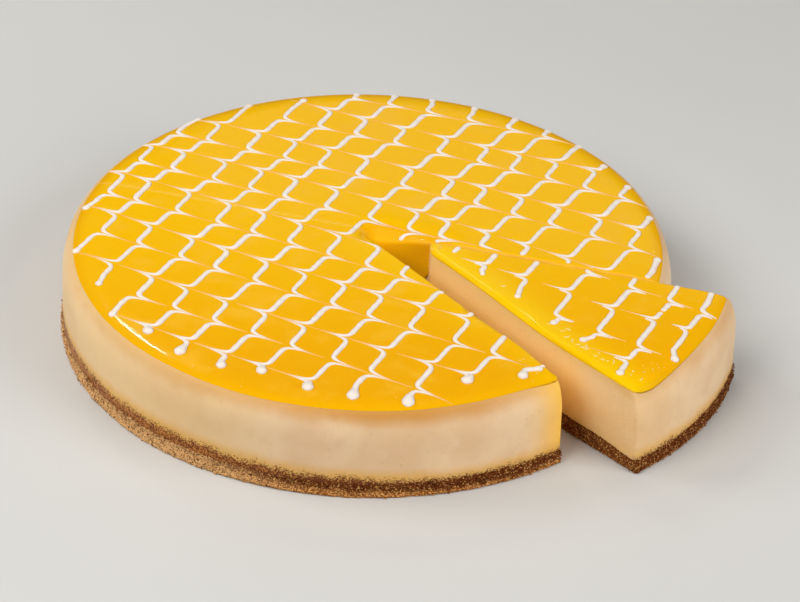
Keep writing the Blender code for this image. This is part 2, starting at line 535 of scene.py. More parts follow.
# Ends a material: its colour, its bump if it has one, its subsurface and the rest of its shader's sockets.
def finishMaterial(material, colour, roughness, specular, bump=None, subsurface=None):
    values = {"Base Color": colour, "Roughness": roughness, "Specular IOR Level": specular}
    if bump:
        height, distance, strength = bump
        bumped = {"Height": height, "Distance": distance, "Strength": strength}
        values["Normal"] = addNode(material.node_tree, "ShaderNodeBump", bumped).outputs["Normal"]
    for key, value in zip(("Weight", "Radius", "Scale"), subsurface or ()):
        values["Subsurface " + key] = value
    setSockets(material.node_tree.nodes["Principled BSDF"], values)
    return material


def noiseField(place, cell, detail=3.0, roughness=0.55, distortion=0.0):
    values = {"Vector": place, "Scale": 1.0 / cell, "Detail": detail}
    values |= {"Roughness": roughness, "Distortion": distortion}
    return addNode(place.id_data, "ShaderNodeTexNoise", values).outputs["Fac"]


def cellsOf(place, scale):
    return addNode(place.id_data, "ShaderNodeTexVoronoi", {"Vector": place, "Scale": scale}).outputs


def partOf(vector, axis):
    return addNode(vector.id_data, "ShaderNodeSeparateXYZ", {"Vector": vector}).outputs[axis]


# A value from low to high, as toLow to toHigh: along a smooth step, or straight where kind is LINEAR.
def rangeOf(value, low, high, toLow=0.0, toHigh=1.0, kind="SMOOTHSTEP"):
    limits = {"From Min": low, "From Max": high, "To Min": toLow, "To Max": toHigh}
    node = addNode(value.id_data, "ShaderNodeMapRange", {"Value": value, **limits}, interpolation_type=kind)
    return node.outputs["Result"]


def shareOf(value, toLow, toHigh):
    return rangeOf(value, 0.0, 1.0, toLow, toHigh, "LINEAR")


def mathOf(operation, a, b):
    tree = (a if isinstance(a, bpy.types.NodeSocket) else b).id_data
    return addNode(tree, "ShaderNodeMath", {0: a, 1: b}, operation=operation).outputs[0]


def plus(a, b):
    return mathOf("ADD", a, b)


def minus(a, b):
    return mathOf("SUBTRACT", a, b)


def times(a, b):
    return mathOf("MULTIPLY", a, b)


def larger(a, b):
    return mathOf("MAXIMUM", a, b)


# Noise moved to lie round 0 and scaled.
def waved(noise, height):
    return times(minus(noise, 0.5), height)


# Lays colours over a first one, each by its share.
def layColours(colour, *coats):
    for share, coat in coats:
        mixed = addNode(share.id_data, "ShaderNodeMix", {0: share, 6: colour, 7: coat}, data_type="RGBA")
        colour = mixed.outputs[2]
    return colour


def readPaint(tree, *names):
    read = [addNode(tree, "ShaderNodeAttribute", attribute_name=name).outputs["Fac"] for name in names]
    return read[0] if len(read) == 1 else read


# A tone for each crumb, about 0.65 on average: a random value per cell plus finer noise.
def crumbTone(place):
    grain = partOf(cellsOf(place, 2100.0)["Color"], "X")
    return plus(times(grain, 0.7), times(noiseField(place, 0.0005, 2.0, 0.6), 0.6))


# Baked filling: cream, more orange under the glaze, golden and brown-speckled where it meets the crust.
# A range is a low and a high value, or height, and what they become.
fillingLook = {
    "cream": seen(240, 208, 168),
    "tan": seen(230, 193, 150),
    "tanBroadly": (0.38, 0.64),
    "tanFinely": (0.45, 0.75, 0.0, 0.35),
    "butter": seen(236, 200, 140),          # where it baked least
    "butterBy": (0.0, 0.4, 0.6, 0.0),
    "underGlaze": seen(206, 142, 50),
    "tintFrom": (0.0325, 0.0388),
    "tintShare": (0.26, 0.86),
    "cutLightLow": seen(255, 206, 112),          # painted light on the near cut, low and high: an orange bounced from the glaze, lighter towards the top
    "cutLightHigh": seen(255, 216, 142),
    "cutLightRise": (0.016, 0.034),
    "cutLightShare": 0.9,
    # painted light: the wall at the cake's near corner, a brighter orange
    "corner": seen(255, 200, 92),
    "golden": seen(230, 176, 84),
    "goldenFall": (0.0070, 0.0128, 0.85, 0.0),
    "toasted": seen(116, 58, 22),
    "speck": seen(206, 136, 62),
    "speckBy": (0.80, 1.00, 0.0, 0.8),
    "toastFall": (0.0054, 0.0080, 1.0, 0.0),
    "footRise": 0.0040,                     # how much higher the foot is toasted where it baked least
    "footWaves": 0.004,
    "toastScatter": 0.0036,
    # painted shade in the pits and pores
    "poreShade": seen(206, 158, 104),
    "pitCells": 1300.0,
    "poreCells": 620.0,
    "rough": (0.3, 0.7, 0.36, 0.52, "LINEAR"),
    "specular": 0.22,
    "subsurface": (0.22, (1.0, 0.55, 0.25), 0.004),
}


def fillingMaterial():
    look = fillingLook
    material, tree, place = newMaterial("cheesecakeFilling")
    height = partOf(place, "Z")
    rim, baked, near, corner, tinted, pitted = readPaint(
        tree, "rim", "baked", "near", "corner", "tinted", "pitted")
    broad = noiseField(place, 0.030)
    middle = noiseField(place, 0.006)
    fine = noiseField(place, 0.0009, 3.0, 0.6)
    crumbs = crumbTone(place)
    tint = rangeOf(plus(height, times(broad, 0.006)), *look["tintFrom"])
    # painted light on the near cut: orange, growing lighter towards the top of the gap
    cutLight = layColours(look["cutLightLow"], (rangeOf(height, *look["cutLightRise"]), look["cutLightHigh"]))
    # the golden fade above the crust, then the toasted foot with a speckled upper edge, higher at the left
    foot = minus(plus(height, waved(middle, look["footWaves"])), times(minus(1.0, baked), look["footRise"]))
    golden = times(rangeOf(foot, *look["goldenFall"]), shareOf(rim, 0.35, 1.0))
    scatter = times(minus(plus(crumbs, fine), 1.15), look["toastScatter"])
    toasted = times(rangeOf(plus(foot, scatter), *look["toastFall"]), rim)
    raised = plus(crumbs, rangeOf(baked, 0.0, 0.5, 0.22, 0.0))
    toastTone = layColours(look["toasted"], (rangeOf(raised, *look["speckBy"]), look["speck"]))
    # pits and pores, painted with shade; the pores are dented by the bump as well
    pitShade = times(rangeOf(cellsOf(place, look["pitCells"])["Distance"], 0.12, 0.32, 0.75, 0.0), pitted)
    pores = rangeOf(cellsOf(place, look["poreCells"])["Distance"], 0.10, 0.24, 1.0, 0.0)
    pores = times(pores, rangeOf(middle, 0.52, 0.62))
    colour = layColours(
        look["cream"],
        (rangeOf(broad, *look["tanBroadly"]), look["tan"]),
        (rangeOf(middle, *look["tanFinely"]), look["tan"]),
        (rangeOf(baked, *look["butterBy"]), look["butter"]),
        (times(tint, shareOf(tinted, *look["tintShare"])), look["underGlaze"]),
        (times(near, look["cutLightShare"]), cutLight),
        (corner, look["corner"]),
        (golden, look["golden"]),
        (toasted, toastTone),
        (larger(times(pores, 0.4), pitShade), look["poreShade"]),
    )
    relief = minus(times(fine, 0.5), times(pores, 0.8))
    rough = rangeOf(fine, *look["rough"])
    return finishMaterial(
        material, colour, rough, look["specular"], (relief, 0.00022, 0.6), look["subsurface"])


# Biscuit crust: fine crumbs of several browns, golden low on the rim, dark above and on the cut
crustLook = {
    "brown": seen(176, 106, 50),
    "gold": seen(238, 180, 108),
    "goldBy": (0.62, 0.98),
    "pale": seen(250, 204, 146),            # where it baked least
    "paleBy": (0.0, 0.45, 0.5, 0.0),
    "dark": seen(96, 44, 16),
    "darkFrom": (0.0034, 0.0064, 0.0, 0.92),
    "darkByBake": (0.0, 0.35, 0.35, 1.0),
    "bakeDrop": 0.0034,                     # how much lower the dark starts where it baked most
    "darkWander": 0.0045,
    "plainBy": (0.84, 1.04, 1.0, 0.2),      # the lightest crumbs stay light
    # painted shade in the gaps between crumbs
    "gap": seen(62, 26, 8),
    "gapShadeBy": (0.30, 0.52, 0.9, 0.0),
    "roughness": 0.85,
    "specular": 0.08,
}


def crustMaterial():
    look = crustLook
    material, tree, place = newMaterial("biscuitCrust")
    baked, rim = readPaint(tree, "baked", "rim")
    tone = crumbTone(place)
    lightened = plus(tone, rangeOf(baked, 0.0, 0.9, 0.12, 0.0))
    wander = waved(noiseField(place, 0.005, 4.0, 0.6), look["darkWander"])
    shifted = plus(plus(partOf(place, "Z"), wander), times(baked, look["bakeDrop"]))
    darkTop = times(rangeOf(shifted, *look["darkFrom"]), rangeOf(baked, *look["darkByBake"]))
    dark = larger(times(darkTop, shareOf(rim, 0.80, 1.0)), shareOf(rim, 0.50, 0.0))
    colour = layColours(
        look["brown"],
        (rangeOf(lightened, *look["goldBy"]), look["gold"]),
        (rangeOf(baked, *look["paleBy"]), look["pale"]),
        (times(dark, rangeOf(tone, *look["plainBy"])), look["dark"]),
        # painted shade between crumbs
        (rangeOf(tone, *look["gapShadeBy"]), look["gap"]),
    )
    return finishMaterial(material, colour, look["roughness"], look["specular"], (tone, 0.0004, 0.9))


# Lemon glaze: a glossy gel, deep yellow where it lies level, brighter where it thins at an edge
glazeLook = {
    # painted shade: the top is darker and more orange towards the front
    "front": seen(241, 171, 0),
    "deep": seen(248, 189, 0),
    "frontShadeRange": (-0.110, 0.020),            # painted shade, darker towards the front: from the front of the cake to its middle
    "pale": seen(246, 188, 44),
    "paleBy": (0.50, 0.66, 0.0, 0.6),
    "edge": seen(244, 176, 0),
    # brighter beside the near cut: partly thinner gel, partly painted light
    "nearLitEdge": seen(255, 205, 0),
    "dark": seen(238, 194, 6),              # painted shade where it has run down the cut into the notch
    "notchShadeBy": (0.10, 0.80, 0.0, 1.0, "LINEAR"),
    # painted glint: pale marks on bubbles, wrinkles and the far cut's top edge
    "paintedGlint": seen(255, 232, 160),
    "rough": (0.35, 0.7, 0.05, 0.13, "LINEAR"),
    "wetSpots": (0.52, 0.60, 0.22, 0.08),
    "dullFilm": (0.03, 0.09, 0.0, 0.45),
    "specular": 0.50,
    "subsurface": (0.12, (1.0, 0.5, 0.05), 0.003),
}


def glazeMaterial():
    look = glazeLook
    material, tree, place = newMaterial("lemonGlaze")
    near, edge, sunk, paintedGlint = readPaint(tree, "near", "edge", "sunk", "paintedGlint")
    broad = noiseField(place, 0.028, 3.0, 0.6, 0.3)
    middle = noiseField(place, 0.007, 4.0, 0.6)
    fine = noiseField(place, 0.0012)
    mottle = plus(times(broad, 0.65), times(middle, 0.35))
    colour = layColours(
        look["front"],
        (rangeOf(partOf(place, "Y"), *look["frontShadeRange"]), look["deep"]),
        (rangeOf(mottle, *look["paleBy"]), look["pale"]),
        (edge, look["edge"]),
        (near, look["nearLitEdge"]),
        (rangeOf(sunk, *look["notchShadeBy"]), look["dark"]),
        (paintedGlint, look["paintedGlint"]),
    )
    # the shoulder over a cut is dull but for wet spots, and so is the film in the notch
    dull = larger(times(near, rangeOf(middle, *look["wetSpots"])), rangeOf(sunk, *look["dullFilm"]))
    rough = larger(rangeOf(middle, *look["rough"]), dull)
    ripples = times(middle, rangeOf(edge, 0.1, 0.6, 1.0, 0.35))
    wrinkles = times(fine, rangeOf(near, 0.1, 0.9, 0.12, 0.9))
    bump = (plus(ripples, wrinkles), 0.0002, 0.5)
    return finishMaterial(material, colour, rough, look["specular"], bump, look["subsurface"])


# Icing: white where it is thick, drawn out to a thin veil that the glaze colours
icingLook = {
    "white": seen(240, 230, 221),
    "veil": seen(250, 186, 92),
    "veilBy": (0.05, 0.95),
    "roughness": 0.34,
    "specular": 0.35,
    "subsurface": (0.15, (1.0, 0.8, 0.5), 0.001),
}


def icingMaterial():
    look = icingLook
    material, tree, place = newMaterial("whiteIcing")
    fine = noiseField(place, 0.0010)
    veil = plus(readPaint(tree, "veil"), waved(fine, 0.3))
    colour = layColours(look["white"], (rangeOf(veil, *look["veilBy"]), look["veil"]))
    bump = (fine, 0.00012, 0.5)
    return finishMaterial(material, colour, look["roughness"], look["specular"], bump, look["subsurface"])


# Filling: wall rings rise from the crust, bulge a little and round over a tall shoulder; at the cuts the
# face is upright with a small round at its top, lower where the glaze has run into the notch.
fillingShape = {
    "spacing": 0.0009,
    "cornerRound": 0.0009,
    "wallRings": 34,
    "shoulderRings": 14,
    "wallUneven": ((0.024, 0.00028, 1), (0.004, 0.00006, 2)),       # cell, height and seed of each noise
    "cutUneven": ((0.012, 0.00014, 3), (0.0016, 0.00005, 4)),
    "unevenFrom": (0.006, 0.004),           # height from which the faces are uneven, and how soon
    "unevenTo": (0.0364, 0.002),
    "slumpFrom": (0.020, 0.012),
    "slumpShare": 1.1,           # a little more than the glaze slumps and sags, so that it stays under it
    "sagShare": 1.06,
    "cutRound": 0.0007,
    "roundFrom": 0.7,            # share of the shoulder's rings that lie below the cut's round
    "shoulderFrom": 0.62,        # share of the cut's height that the rings climb below the shoulder
    "bedded": 0.0006,            # how far the foot reaches down into the crust
    "footStep": 0.0002,
    "footInsets": ((0.0053, 0.002), (0.0003, 0.0002)),      # of its two lowest rings, from wall and cuts
    "hubShares": (0.02, 0.05, 0.10, 0.17, 0.26, 0.4, 0.7),
}


def makeFilling(name, plan, material, node):
    shape = fillingShape
    loop = makeLoop(plan, shape["spacing"], shape["cornerRound"])
    rim = loop["rim"]
    seed = plan["seed"]
    cutRound, roundFrom = shape["cutRound"], shape["roundFrom"]
    foot = crustHeight(plan, loop["point"]) - shape["bedded"]
    spring = layers["fillingTop"] - layers["shoulderDepth"]
    cutTop = layers["fillingTop"] - cutRound - notchSag(plan, loop["point"])
    middle = blend(foot, cutTop, shape["shoulderFrom"])
    wallInset = layers["wallInset"]
    rings = []

    def ring(rimInset, cutInset, rimHeight, cutHeight):
        flat = ringAt(loop, rimInset, cutInset, cutInset, cutInset)
        rings.append(np.concatenate([flat, blend(cutHeight, rimHeight, rim)[:, None]], 1))

    for rimInset, cutInset in shape["footInsets"]:
        ring(wallInset + rimInset, cutInset, foot, foot)
    low = foot + shape["footStep"]
    for share in np.linspace(0.0, 1.0, shape["wallRings"]):
        ring(wallInset, 0.0, blend(low, spring, share), blend(low, middle, share))
    for share in np.linspace(0.0, 1.0, shape["shoulderRings"] + 1)[1:]:
        turn = share * 0.5 * math.pi
        early = min(share / roundFrom, 1.0)
        late = max((share - roundFrom) / (1.0 - roundFrom), 0.0) * 0.5 * math.pi
        rimInset = wallInset + layers["shoulderWidth"] * (1 - math.cos(turn))
        rimHeight = spring + layers["shoulderDepth"] * math.sin(turn)
        cutHeight = blend(middle, cutTop, early) + cutRound * math.sin(late)
        ring(rimInset, cutRound * (1 - math.cos(late)), rimHeight, cutHeight)
    rings = np.array(rings)

    def uneven(noises, *places):
        return sum(height * rollingNoise(place, cell, seed + add)
                   for (cell, height, add), place in zip(noises, places))

    wallPush = uneven(shape["wallUneven"], rings, rings)
    cutPush = uneven(shape["cutUneven"], rings * np.array([1.0, 1.0, 0.5]), rings)
    (lowest, soon), (highest, fade) = shape["unevenFrom"], shape["unevenTo"]
    rise = smoothStep((rings[..., 2] - lowest) / soon) * smoothStep((highest - rings[..., 2]) / fade)
    push = blend(cutPush, wallPush, rim[None]) * rise
    rings[..., :2] += loop["outward"][None] * push[..., None]
    top = towardsHub(rings[-1], plan, shape["hubShares"], layers["fillingTop"])
    lowest, soon = shape["slumpFrom"]
    slump, sag = shape["slumpShare"], shape["sagShare"]
    rings[..., 2] -= slump * cornerSlump(plan, rings[..., :2]) * smoothStep((rings[..., 2] - lowest) / soon)
    top[..., 2] -= sag * notchSag(plan, top[..., :2]) + slump * cornerSlump(plan, top[..., :2])
    bottom = towardsHub(rings[0], plan, (0.7, 0.3), foot.mean())
    rings = np.concatenate([bottom, rings, top])
    mesh = ringMesh(name, plan, rings, (foot.mean(), layers["fillingTop"]))
    corner = nearCorner(plan, rings[..., :2])
    pales = plan["cutLightFades"]
    shares = {
        "rim": np.broadcast_to(rim, rings.shape[:2]),
        # the near cut's painted light, faded to cream at the wedge's outer corner
        "near": loop["near"] * (1.0 - pales * corner ** 0.4),
        # painted light at the near corner, mostly left out on the wedge
        "corner": corner * (1.0 - pales),
        "pitted": pales * corner ** 2 * loop["near"],
        "baked": bakedShare(rings[..., :2]),
        "tinted": tintedShare(rings[..., :2]),
    }
    for attribute, values in shares.items():
        paintRings(mesh, attribute, values)
    return addPiece(mesh, material, "cheesecake", node)


# Crust: a rim of crumbs, pushed in and out by noise at the size of the grains; the cut face is as rough
# and its upper edge is uneven.
crustShape = {
    "spacing": 0.00050,
    "rimRings": 18,
    "roundRings": 5,
    "coarseCell": 0.0016,
    "fineCell": 0.0008,
    "rough": 0.00026,
    "broadCell": 0.012,
    "broadRough": 0.00025,
    "edgeUneven": (0.0028, 0.0004),         # cell and height of the upper edge's unevenness
    "lift": (0.0012, 0.0003),    # the same for the grains' ups and downs
    "underside": (0.004, 0.002),            # insets of the lowest ring from rim and cuts
    "upperside": (0.0035, 0.002),
    "corner": 0.0010,            # round of the lower edge
    "lipWidth": 0.0009,          # width and height of the round at the upper edge
    "lipRound": 0.0008,
    "clear": 0.0001,             # how far the faces stand in from the plan before they are roughened
    "lean": 0.0004,              # how far the rim leans in towards its top
}


def makeCrust(name, plan, material, node):
    shape = crustShape
    seed = plan["seed"]
    loop = makeLoop(plan, shape["spacing"])
    rim = loop["rim"]
    cell, uneven = shape["edgeUneven"]
    lip = crustHeight(plan, loop["point"]) + uneven * rollingNoise(loop["place"], cell, seed + 30)
    corner, lipRound, clear, lean = (shape[key] for key in ("corner", "lipRound", "clear", "lean"))
    rings = []

    def ring(rimInset, cutInset, height):
        flat = ringAt(loop, rimInset, cutInset, cutInset, cutInset)
        rings.append(np.concatenate([flat, np.broadcast_to(height, (len(flat),))[:, None]], 1))

    quarter = np.linspace(0.0, 0.5 * math.pi, shape["roundRings"])
    ring(*shape["underside"], 0.0)
    for turn in quarter:
        inset = corner * (1 - math.sin(turn)) + clear
        ring(inset, inset, corner * (1 - math.cos(turn)))
    for share in np.linspace(0.0, 1.0, shape["rimRings"])[1:]:
        ring(clear + lean * share ** 2, clear, blend(corner, lip - lipRound, share))
    for turn in quarter[1:]:
        inset = clear + shape["lipWidth"] * (1 - math.cos(turn))
        ring(lean + inset, inset, lip - lipRound + lipRound * math.sin(turn))
    ring(*shape["upperside"], lip - 0.0002)
    rings = np.array(rings)
    coarse = softNoise(rings, shape["coarseCell"], seed + 31)
    fine = softNoise(rings, shape["fineCell"], seed + 33)
    broad = softNoise(rings, shape["broadCell"], seed + 35)
    push = shape["rough"] * (0.75 * coarse + 0.45 * fine) + shape["broadRough"] * broad * rim[None]
    raised = smoothStep(rings[..., 2] / shape["lipRound"])
    inner = np.ones((len(rings), 1))
    inner[[0, -1]] = 0.0
    rings[..., :2] += loop["outward"][None] * (push * inner)[..., None]
    cell, lift = shape["lift"]
    rings[..., 2] += lift * softNoise(rings, cell, seed + 34) * raised * inner
    rings[..., 2] = np.maximum(rings[..., 2], 0.0)
    top = towardsHub(rings[-1], plan, (0.4,), layers["crustRim"])
    bottom = towardsHub(rings[0], plan, (0.5,), 0.0)
    rings = np.concatenate([bottom, rings, top])
    mesh = ringMesh(name, plan, rings, (0.0, layers["crustRim"]))
    paintRings(mesh, "rim", np.broadcast_to(rim, rings.shape[:2]), 1.0)
    paintRings(mesh, "baked", plan["crustBake"] * bakedShare(rings[..., :2]))
    return addPiece(mesh, material, "biscuit", node)


# Glaze: the top is a net over the plan, made of rings that follow the rounded edges and of a hexagonal
# grid further in, each point lifted to glazeHeight. A skirt closes it below, and near the notch's inner
# end a film has run down the cut.
glazeShape = {
    "spacing": 0.0008,
    "edgeRings": 8,
    "filmRings": 10,
    "grid": 0.00125,
    "rowShare": 0.866,           # how far apart its rows lie, as a share of its cell
    "ringKeep": 0.92,            # least roundShare of a ring's point, as a share of the ring's own
    "gridKeep": 1.12,
    "netScale": 1000.0,          # the net is joined up in millimetres
    "filmDrop": 0.024,
    "filmReach": 0.034,
    "filmUneven": 0.1,
    "drips": (0.0045, 0.0009),   # how far apart they hang, and how far down
    "skirt": ((0.006, 0.004), (0.0006, 0.0006), (0.0004, 0.0004)),      # insets of its lowest rings
    "overhang": 0.00012,         # how far it stands out from the cuts
    "lap": 0.0006,               # how far the glaze laps over the near cut's top
    "bedded": 0.0001,            # how far its underside lies in the filling
    "nearReach": 0.0100,         # how far from the near cut it is tinted
    # painted glint along the far cut's top edge
    "paintedGlint": 0.2,
    "paintedGlintWidth": 0.0008,
}


# Places inside the edge: rings that follow it, then the grid, each kept only where it lies far enough in.
def glazeNet(plan, loop, edge, wander):
    shape = glazeShape
    grid = shape["grid"]
    rounds = np.array(list(plan["rounds"].values()))
    net = []
    for turn in np.linspace(0.0, 0.5 * math.pi, shape["edgeRings"] + 1)[1:]:
        reach = 1 - math.cos(turn)
        ring = ringAt(loop, wander + layers["rimRound"] * reach, *(rounds * reach))
        net.append(ring[roundShare(plan, ring) > shape["ringKeep"] * reach])
    low, high = edge.min(0), edge.max(0)
    lines = np.arange(low[1], high[1], grid * shape["rowShare"])
    gridX, gridY = np.meshgrid(np.arange(low[0], high[0], grid), lines)
    gridX = gridX + 0.5 * grid * (np.arange(len(lines)) % 2)[:, None]
    spots = np.stack([gridX.ravel(), gridY.ravel()], 1)
    return np.concatenate([edge] + net + [spots[roundShare(plan, spots) > shape["gridKeep"]]])


# How far the glaze hangs below its underside, along its edge: drips at the near cut's corner, and the film
# that thins out with the distance from the notch's inner end.
def glazeHang(plan, loop, edge):
    shape = glazeShape
    atNear = loop["near"]
    if plan["isWedge"]:
        atNear = smoothStep(1.0 - edgeDistances(plan, edge)["near"] / 0.002)
    cell, drop = shape["drips"]
    drips = drop * smoothStep(0.5 + rollingNoise(loop["place"], cell, plan["seed"] + 40))
    hang = (shape["lap"] + drips * nearCorner(plan, edge)) * atNear
    if plan["isWedge"]:
        return hang
    fromEnd = np.linalg.norm(edge - np.array(plan["farEnd"]), axis=1)
    onCut = np.clip(loop["far"] + loop["end"], 0, 1)
    film = shape["filmDrop"] * smoothStep(1.6 * (1.0 - fromEnd / shape["filmReach"])) * onCut
    uneven = shape["filmUneven"]
    return hang + film * (1.0 - uneven + uneven * rollingNoise(loop["place"], 0.006, 9))


def makeGlaze(name, plan, material, node):
    shape = glazeShape
    loop = makeLoop(plan, shape["spacing"], plan["glazeRound"])
    rimCount = loop["counts"][0]
    outline = sharpOutline(plan, (rimCount, 1, 1, 1))[:rimCount] - np.array(plan["centre"])
    wander = glazeEdge(plan, turnOf(outline))
    edge = ringAt(loop, wander)
    count = len(edge)
    flat = glazeNet(plan, loop, edge, wander)
    scaled = [Vector(spot) for spot in flat * shape["netScale"]]
    found = delaunay_2d_cdt(scaled, [], [list(range(count))], 1, 0.0001)
    flat = np.array([tuple(spot) for spot in found[0]]) / shape["netScale"]
    triangles = np.array(found[2], int)
    top = np.concatenate([flat, glazeHeight(plan, flat)[:, None]], 1)
    under = fillingHeight(plan, edge) - notchSag(plan, edge) - shape["bedded"]
    low = under - glazeHang(plan, loop, edge)
    rings = [(*insets, height) for insets, height in zip(shape["skirt"], (under, under, low))]
    for share in np.linspace(0.0, 1.0, shape["filmRings"])[:-1]:
        rings.append((0.0, -shape["overhang"], blend(low, under + shape["bedded"], share)))
    skirt = []
    for rimInset, cutInset, height in rings:
        ring = ringAt(loop, wander + rimInset, cutInset, cutInset, cutInset)
        skirt.append(np.concatenate([ring, height[:, None]], 1))
    hub = (*plan["hub"], layers["fillingTop"] - shape["bedded"])
    points = np.concatenate([*skirt, [hub], top])
    first = len(skirt) * count
    quads = ringQuads(np.append(np.arange(len(skirt)) * count, first + 1), count)
    fan = ringFan(0, count, first, True)
    mesh = fillMesh(name, points, quads, np.concatenate([fan, triangles + first + 1]))
    place = points[:, :2]
    sunk = layers["glazeTop"] - points[:, 2]
    level = (points[:, 2] - fillingHeight(plan, place)) / (layers["glazeTop"] - layers["fillingTop"])
    atFar = smoothStep(1.0 - np.abs(edgeDistances(plan, place)["far"]) / shape["paintedGlintWidth"])
    # depth below the top, for the painted shade in the notch and its dull film
    paint(mesh, "sunk", sunk / 0.030)
    paint(mesh, "edge", smoothStep((0.8 - level) / 0.6))
    # beside the near cut, painted brighter: partly thinner gel, partly painted light
    paint(mesh, "near", plan["nearLightTint"] * np.exp(-((nearGap(plan, place) / shape["nearReach"]) ** 2)))
    # painted glint along the far cut's top edge
    paint(mesh, "paintedGlint", shape["paintedGlint"] * atFar * smoothStep(1.5 - sunk / 0.002))
    print(name, "boundary kept", np.abs(flat[:count] - edge).max() < 0.00002, "triangles", len(triangles))
    return addPiece(mesh, material, "lemon_glaze", node)


# Icing: the comb was drawn through piped lines, to and fro. Places are in millimetres on a grid turned
# with the comb: u runs along its strokes, v across them. Each comb stroke is named by its pull, +1 or -1
# along u, and by its v at three u.
combTurn = math.radians(-25.8)
combSpots = (-80.0, 0.0, 70.0)
cakeComb = [
    (1, (91.0, 101.7, 110.0)),
    (-1, (81.0, 85.5, 94.0)),
    (1, (64.0, 72.3, 76.8)),
    (-1, (51.0, 56.8, 59.3)),
    (1, (36.2, 42.5, 45.0)),
    (-1, (25.0, 28.5, 26.0)),
    (1, (9.3, 14.5, 19.0)),
    (-1, (-2.2, -1.2, -1.0)),
    (1, (-18.5, -17.3, -19.5)),
    (-1, (-31.5, -32.2, -30.0)),
    (1, (-46.2, -48.0, -48.7)),
    (-1, (-62.5, -65.0, -64.8)),
    (1, (-78.8, -80.3, -83.3)),
    (-1, (-91.0, -96.8, -97.0)),
]
# Each piped line: the lane of its first stroke (lane 0 lies between the first two comb strokes), its u in
# each lane, where it begins at the back, where it ends at the front, and the radius of its last drop.
cakeLines = [
    (3, (-105.8, -106.2, -107.9, -107.6, -106.9, -107.6), (-104.0, 49.5), (-109.2, -33.5), 1.3),
    (2, (-90.5, -92.4, -93.0, -93.9, -94.6, -95.0, -94.8, -94.4, -95.6), (-91.0, 69.0), (-96.3, -62.5),
        1.3),
    (1, (-73.4, -74.1, -74.5, -74.7, -75.6, -76.4, -77.0, -77.7, -78.2, -77.5, -77.5), (-72.5, 82.5),
        (-75.8, -79.0), 1.2),
    (-1, (-55.5, -56.9, -57.9, -58.4, -59.0, -58.8, -59.8, -59.0, -59.0, -58.7, -59.2, -59.5, -59.4,
        -61.6), (-56.3, 98.5), (-61.0, -94.8), 1.4),
    (-1, (-41.0, -41.4, -42.0, -42.5, -43.6, -44.1, -44.8, -45.1, -43.5, -42.9, -43.5, -43.7, -43.7,
        -42.3, -44.0), (-42.0, 104.5), (-42.0, -99.0), 1.7),
    (-1, (-24.5, -24.1, -25.0, -27.1, -27.2, -26.6, -26.5, -27.8, -27.2, -25.0, -25.8, -26.1, -26.2,
        -25.8, -26.3), (-27.5, 109.5), (-26.0, -105.8), 2.0),
    (-1, (-7.0, -5.1, -6.3, -7.1, -7.9, -8.0, -8.0, -8.9, -9.9, -9.2, -9.3, -9.3, -9.4, -9.3, -9.6),
        (-9.0, 111.5), (-7.3, -105.8), 1.7),
    (-1, (10.2, 11.3, 10.9, 10.1, 9.9, 9.3, 8.9, 8.3, 6.6, 7.3, 7.7, 7.7, 7.5, 7.0, 5.8), (9.8, 112.2),
        (8.0, -102.0), 1.8),
    (-1, (25.5, 24.3, 25.3, 24.7, 24.1, 22.8, 22.2, 22.3, 21.8, 22.5, 23.6, 24.6, 25.3, 26.4, 26.0),
        (25.2, 111.8), (28.0, -103.0), 1.8),
    (0, (40.8, 40.4, 40.6, 40.0, 39.9, 39.4, 39.6, 39.8, 40.1, 41.4, 41.8, 41.5, 42.0), (41.3, 106.8),
        (44.8, -100.5), 2.1),
    (0, (56.8, 56.4, 56.2, 56.0, 56.3, 57.1, 56.8, 57.4, 58.1, 59.8, 60.7, 61.7, 62.2), (57.2, 96.0),
        (64.0, -93.8), 2.1),
    (1, (72.3, 73.2, 73.9, 74.5, 75.0, 75.6, 76.0, 76.3, 75.9, 76.8, 76.4), (72.0, 86.5), (76.6, -71.0),
        1.9),
    (2, (89.5, 90.6, 91.6, 91.9, 92.5, 92.9, 93.2, 93.4), (88.8, 69.5), (97.0, -46.5), 0.6),
    (4, (106.0, 107.0), (103.8, 42.5), (107.5, 24.0), 1.0),
]
# Where the piping turned round beside the near cut: the middle, two plain ends and the drop.
turnStroke = ((92.2, -51.6), (97.4, -46.9), (93.4, -57.2), 1.6)
backReach = 2.2                  # how much further than its first place each line starts at the back
